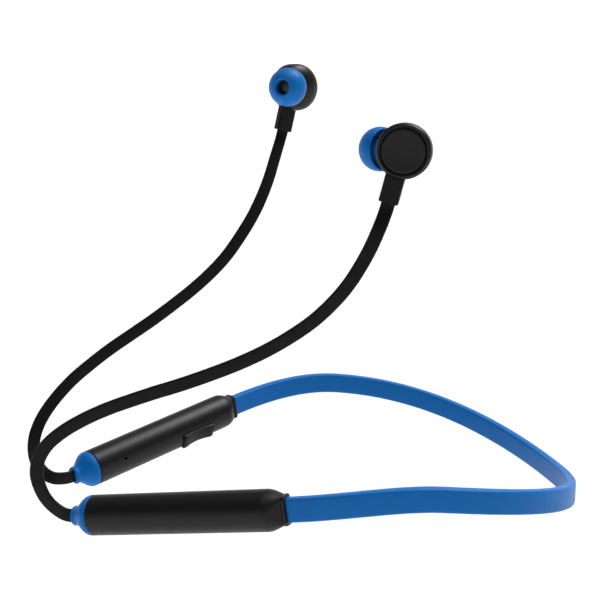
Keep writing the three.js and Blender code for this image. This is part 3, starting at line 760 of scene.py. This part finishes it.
def add_tube(label, prefix, cuts=()):
    matrix, body = tube_matrix(SIDES[label]), SIDE_BODY[label]
    shell = make(f"{prefix}_shell_fine", shell_body(), matrix)
    bore = turned([(2.2, 0), (2.2, 3.0), (4.2, TUBE_BORE), (60, TUBE_BORE), (60, 0)], 96)
    carve(shell, [bore, prism([(x, rounded_section(3.8, 7.0, 0.6)) for x in (-1, 4)])], matrix)
    for cutter, cutter_matrix in cuts:
        carve(shell, [cutter], cutter_matrix)
    if cuts:
        bevelled(shell, 0.1, 2, 50)
    dress(shell, [f"{prefix}_shell"], body)
    add_collar(f"{prefix}_collar", matrix, body)
    add_cap(f"{prefix}_cap", matrix, body)


def recess_cutter():
    """A shallow bed for the port cover: a slab less a core as wide as the bed's floor."""
    low, high = COVER_EDGES
    slab = make("slab", block((COVER_START - GAP, low - GAP, -7), (6.2, high + GAP, -4)))
    carve(slab, [turned([(-8, 0), (-8, 5.0), (8, 5.0), (8, 0)], 128)], None)
    bm = bmesh.new()
    bm.from_mesh(slab.data)
    bm.transform(Matrix.Scale(1 / MM, 4))
    bpy.data.objects.remove(slab)
    return bm


key = key_matrix(KEY_PLACE, KEY_TURN)
port = key_matrix(PORT_PLACE, KEY_TURN)
half_slot = (KEY_LENGTH / 2 + GAP, KEY_WIDTH / 2 + GAP)


def key_slot_cutter():
    bm = bmesh.new()
    outline = rounded_section(2 * half_slot[0], 2 * half_slot[1], 0.5)
    loft(bm, [[(x, y, z) for x, z in outline] for y in (2, 8)])
    return bm


add_tube("left", "battery_tube")
add_tube(
    "right",
    "control_tube",
    [
        (key_slot_cutter(), key),
        (post(3, 7, 0.5), key_matrix(MIC_PLACE, MIC_TURN)),
        (post(-7, -3, 0.9), key_matrix(LED_PLACE, KEY_TURN)),
        (recess_cutter(), port),
        (block((-4.1, -0.6, -7), (4.1, 2.5, -3)), port),
    ],
)


def add_rocker():
    half = KEY_LENGTH / 2
    outline = [(-half, KEY_UNDERSIDE), (half, KEY_UNDERSIDE), (half, KEY_TOP - 0.3), (half - 0.3, KEY_TOP)]
    steps = 20
    scoop = half - 1.5
    for i in range(steps + 1):
        t = 1 - 2 * i / steps
        outline.append((scoop * t, KEY_SCOOP_TOP + (KEY_TOP - KEY_SCOOP_TOP) * t * t))
    outline += [(-half + 0.3, KEY_TOP), (-half, KEY_TOP - 0.3)]
    bm = bmesh.new()
    loft(bm, [[(x, y, z) for x, y in outline] for z in (-KEY_WIDTH / 2, KEY_WIDTH / 2)])
    plate = make("volume_rocker_fine", bm, key)
    bevelled(plate, 0.16, 3, 40)
    feet = [
        block((x - 0.7, 1.5, -0.7), (x + 0.7, KEY_UNDERSIDE + 0.2, 0.7))
        for x in (-SWITCH_SPACING, SWITCH_SPACING)
    ]
    hub = block((-1.3, 1.2, -1.2), (1.3, KEY_UNDERSIDE + 0.2, 1.2))
    carve(plate, [*feet, hub], key, "UNION")
    hole = turned([(-3, 0), (-3, KEY_PIN_RADIUS + 0.2), (3, KEY_PIN_RADIUS + 0.2), (3, 0)], 32)
    hole.transform(Matrix.Translation((0, KEY_PIN_HEIGHT, 0)) @ Matrix.Rotation(math.pi / 2, 4, "Y"))
    dress(carve(plate, [hole], key), ["volume_rocker"], "rocker")
    plate.data.materials[0] = MATERIALS["key"]


def add_port_cover():
    steps = 16
    first, last = [math.asin(edge / COVER_OUTER) for edge in COVER_EDGES]
    arc = [first + (last - first) * i / steps for i in range(steps + 1)]
    section = [(COVER_OUTER * math.sin(a), -COVER_OUTER * math.cos(a)) for a in arc]
    section += [(COVER_INNER * math.sin(a), -COVER_INNER * math.cos(a)) for a in reversed(arc)]
    leaf = make("port_cover_fine", prism([(x, section) for x in (COVER_START, 0, COVER_STOP)]), port)
    bevelled(leaf, 0.1, 2, 50)
    floor = BOARD_TOP + GAP
    plug = block((-3.1, floor + 0.65, -5.4), (3.1, floor + 1.85, -3.95))
    tab = soft_bar(1.6, 0.8, 0.2, COVER_START, COVER_START + 0.8, 0.1)
    tab.transform(Matrix.Translation((0, 1.0, -5.7)))
    carve(leaf, [plug, tab], port, "UNION")
    dress(leaf, ["port_cover"], "port_cover")


add_rocker()
add_port_cover()


# ---------------------------------------------------------------- earbuds
def add_bud(label):
    matrix, nozzle, stem = bud_matrix(label), nozzle_matrix(label), stem_matrix(label)
    body = SIDE_BODY[label]
    named = lambda part: f"{label}_{part}"
    rim = BUD_BACK
    back = fillet(
        [
            (0.15, 6.3),
            (0.15, BUD_RADIUS),
            (rim - 0.75, BUD_RADIUS),
            (rim - 0.05, BUD_RADIUS - 0.45),
            (rim, BUD_RADIUS - 0.9),
            (rim - 0.3, 6.05),
            (rim - 1.05, 6.05),
            (rim - 1.05, 0),
            (rim - 1.5, 0),
            (rim - 1.5, 6.3),
            (0.15, 6.3),
        ],
        0.16,
        3,
    )
    shell = make(named("bud_back_fine"), turned(back, 128), matrix)
    dress(carve(shell, [soft_bar(2.6, 1.6, 0.2, -2.5, 3)], stem), [named("bud_back")], body)
    disc = [
        (rim - 0.75, 0),
        (rim - 0.75, 5.72),
        (rim - 0.2, 5.72),
        (rim - 0.06, 5.66),
        (rim, 5.5),
        (rim - 0.03, 5.2),
        (rim - 0.04, 0),
    ]
    dress(make(named("bud_back_disc_fine"), turned(disc, 128), matrix), [named("bud_back_disc")], body)
    dome = [(-0.15, 0), (-0.15, BUD_RADIUS - 0.12), (-0.28, BUD_RADIUS)]
    steps = 16
    for i in range(1, steps + 1):
        angle = i / steps * math.pi / 2
        x = -0.28 - (BUD_FRONT - 0.28) * math.sin(angle)
        dome.append((x, BUD_RADIUS * math.cos(angle) ** 0.92 if i < steps else 0))
    front = make(named("bud_front_fine"), turned(dome, 128), matrix)
    neck = [(2, 0), (2, 3.4), (5.2, 3.4), (5.9, NOZZLE_RADIUS)]
    neck += [(NOZZLE_END, NOZZLE_RADIUS), (NOZZLE_END, 0)]
    snout = turned(fillet(neck, 0.3), 96)
    carve(front, [snout], nozzle, "UNION")
    cavity = turned([(4, 0), (4, 6.3), (-0.3, 6.3), (-1.0, 5.5), (-1.9, 5.0), (-3.0, 4.0), (-3.0, 0)], 96)
    carve(front, [cavity], matrix)
    bore = turned([(1.5, 0), (1.5, NOZZLE_BORE), (11.2, NOZZLE_BORE), (11.2, 0)], 64)
    seat = turned([(9.7, 0), (9.7, NOZZLE_BORE + 0.4), (11.2, NOZZLE_BORE + 0.4), (11.2, 0)], 64)
    carve(front, [bore, seat], nozzle)
    dress(front, [named("bud_front")], body)
    sheet = [(9.95, 0), (9.95, NOZZLE_BORE + 0.1), (10.15, NOZZLE_BORE + 0.1), (10.15, 0)]
    weave = turned(fillet(sheet, 0.05, 2), 64)
    screen = dress(make(named("nozzle_mesh_fine"), weave, nozzle), [named("nozzle_mesh")], body)
    screen.data.materials[0] = MATERIALS["mesh"]
    add_tip(named("ear_tip"), nozzle @ Matrix.Translation((TIP_FORWARD[label], 0, 0)))
    bar = soft_bar(STEM_WIDTH, STEM_THICKNESS, 0.55, -2, STEM_LENGTH, 0.2)
    sleeve = make(named("stem_fine"), bar, stem)
    clearance = turned([(-1, 0), (-1, BUD_RADIUS + 0.05), (6, BUD_RADIUS + 0.05), (6, 0)], 128)
    carve(sleeve, [clearance], matrix)
    floor = STEM_LENGTH - STEM_POCKET - GAP
    pocket = soft_bar(CABLE_WIDTH + 0.3, CABLE_THICKNESS + 0.3, 0.5, floor, STEM_LENGTH + 1)
    carve(sleeve, [pocket], stem)
    carve(sleeve, [soft_bar(2.0, 1.0, 0.2, -1.7, 2)], stem, "UNION")
    dress(sleeve, [named("stem")], body)


def add_tip(node, nozzle):
    """A mushroom of thin silicone: dome and open skirt round a tube that grips the nozzle."""
    dome = []
    steps = 24
    turn = math.radians(66)
    reach = (TIP_FRONT - TIP_WIDEST) / math.sin(turn)
    for i in range(steps + 1):
        angle = i / steps * turn
        dome.append((TIP_WIDEST + reach * math.sin(angle), TIP_RADIUS * math.cos(angle)))
    dome[-1] = (TIP_FRONT - 0.03, 2.95)
    mouth = [
        (TIP_FRONT, 2.68),
        (TIP_FRONT - 0.03, 2.42),
        (TIP_FRONT - 0.2, 2.28),
        (TIP_FRONT - 0.5, 2.22),
    ]
    inside = [
        (NOZZLE_END + GAP, 2.15),
        (NOZZLE_END + GAP, NOZZLE_RADIUS + 0.08),
        (TIP_START + 0.4, NOZZLE_RADIUS + 0.08),
        (TIP_START + 0.2, NOZZLE_RADIUS + 0.2),
        (TIP_START + 0.3, 3.2),
        (TIP_START + 0.5, 3.3),
        (10.2, 3.3),
        (10.6, 3.5),
        (10.5, 3.95),
        (9.6, 4.75),
        (TIP_WIDEST, TIP_RADIUS - 0.55),
        (TIP_START + 0.4, TIP_RADIUS - 0.68),
    ]
    edge = TIP_START + 0.3
    skirt = [
        (edge, TIP_RADIUS - 0.6),
        (edge - 0.02, TIP_RADIUS - 0.45),
        (edge + 0.08, TIP_RADIUS - 0.28),
        (TIP_WIDEST - 1.0, TIP_RADIUS - 0.07),
    ]
    profile = skirt + dome + mouth + inside
    tip = make(f"{node}_fine", turned(profile + [profile[0]], 128), nozzle)
    dress(tip, [node], node, sharp=50)


for label in SIDES:
    add_bud(label)


# ---------------------------------------------------------------- floor and light
FLOOR_HEIGHT, FLOOR_REACH = -0.16, 30


def add_floor():
    bm = bmesh.new()
    bmesh.ops.create_grid(bm, x_segments=4, y_segments=4, size=FLOOR_REACH)
    bm.transform(Matrix.Translation((0, 0, FLOOR_HEIGHT)))
    mesh = bpy.data.meshes.new("floor")
    bm.to_mesh(mesh)
    bm.free()
    floor = bpy.data.objects.new("floor", mesh)
    bpy.context.scene.collection.objects.link(floor)
    paper = finish(
        "floor", (0.93, 0.93, 0.93), 0.95, mottle=0.005, cloud=0.5, grain=40, bump=0.02, specular=0.0,
    )
    mesh.materials.append(paper)


def add_sun(name, direction, strength, angle):
    data = bpy.data.lights.new(name, "SUN")
    data.energy = strength
    data.angle = math.radians(angle)
    lamp = bpy.data.objects.new(name, data)
    lamp.rotation_mode = "QUATERNION"
    lamp.rotation_quaternion = Vector(direction).to_track_quat("-Z", "Y")
    bpy.context.scene.collection.objects.link(lamp)


def add_world():
    """White low behind the object, dim above and in front, with a white skyline all round."""
    world = bpy.data.worlds.new("studio")
    world.use_nodes = True
    bpy.context.scene.world = world
    tree = world.node_tree
    place = tree.nodes.new("ShaderNodeTexCoord")
    split = tree.nodes.new("ShaderNodeSeparateXYZ")
    tree.links.new(place.outputs["Generated"], split.inputs["Vector"])

    def ramp(axis, start, end, low, high, interpolation="LINEAR"):
        node = tree.nodes.new("ShaderNodeMapRange")
        node.interpolation_type = interpolation
        node.inputs["From Min"].default_value = start
        node.inputs["From Max"].default_value = end
        node.inputs["To Min"].default_value = low
        node.inputs["To Max"].default_value = high
        tree.links.new(split.outputs[axis], node.inputs["Value"])
        return node.outputs["Result"]

    def combine(operation, a, b):
        node = tree.nodes.new("ShaderNodeMath")
        node.operation = operation
        tree.links.new(a, node.inputs[0])
        tree.links.new(b, node.inputs[1])
        return node.outputs["Value"]

    behind = ramp("Y", 0.25, 0.85, 0.06, 1.15, "SMOOTHSTEP")
    low_down = ramp("Z", 0.2, 0.5, 1.0, 0.15, "SMOOTHSTEP")
    skyline = ramp("Z", 0.03, 0.06, 1.1, 0.0)
    background = tree.nodes["Background"]
    background.inputs["Color"].default_value = (1, 1, 1, 1)
    strength = combine("MAXIMUM", combine("MULTIPLY", behind, low_down), skyline)
    tree.links.new(strength, background.inputs["Strength"])


bpy.context.scene.view_settings.view_transform = "Standard"
add_floor()
add_sun("key", (-0.47, -0.171, -0.866), 3.0, 28)
add_sun("overhead", (0, 0.1, -1), 0.9, 60)
add_world()
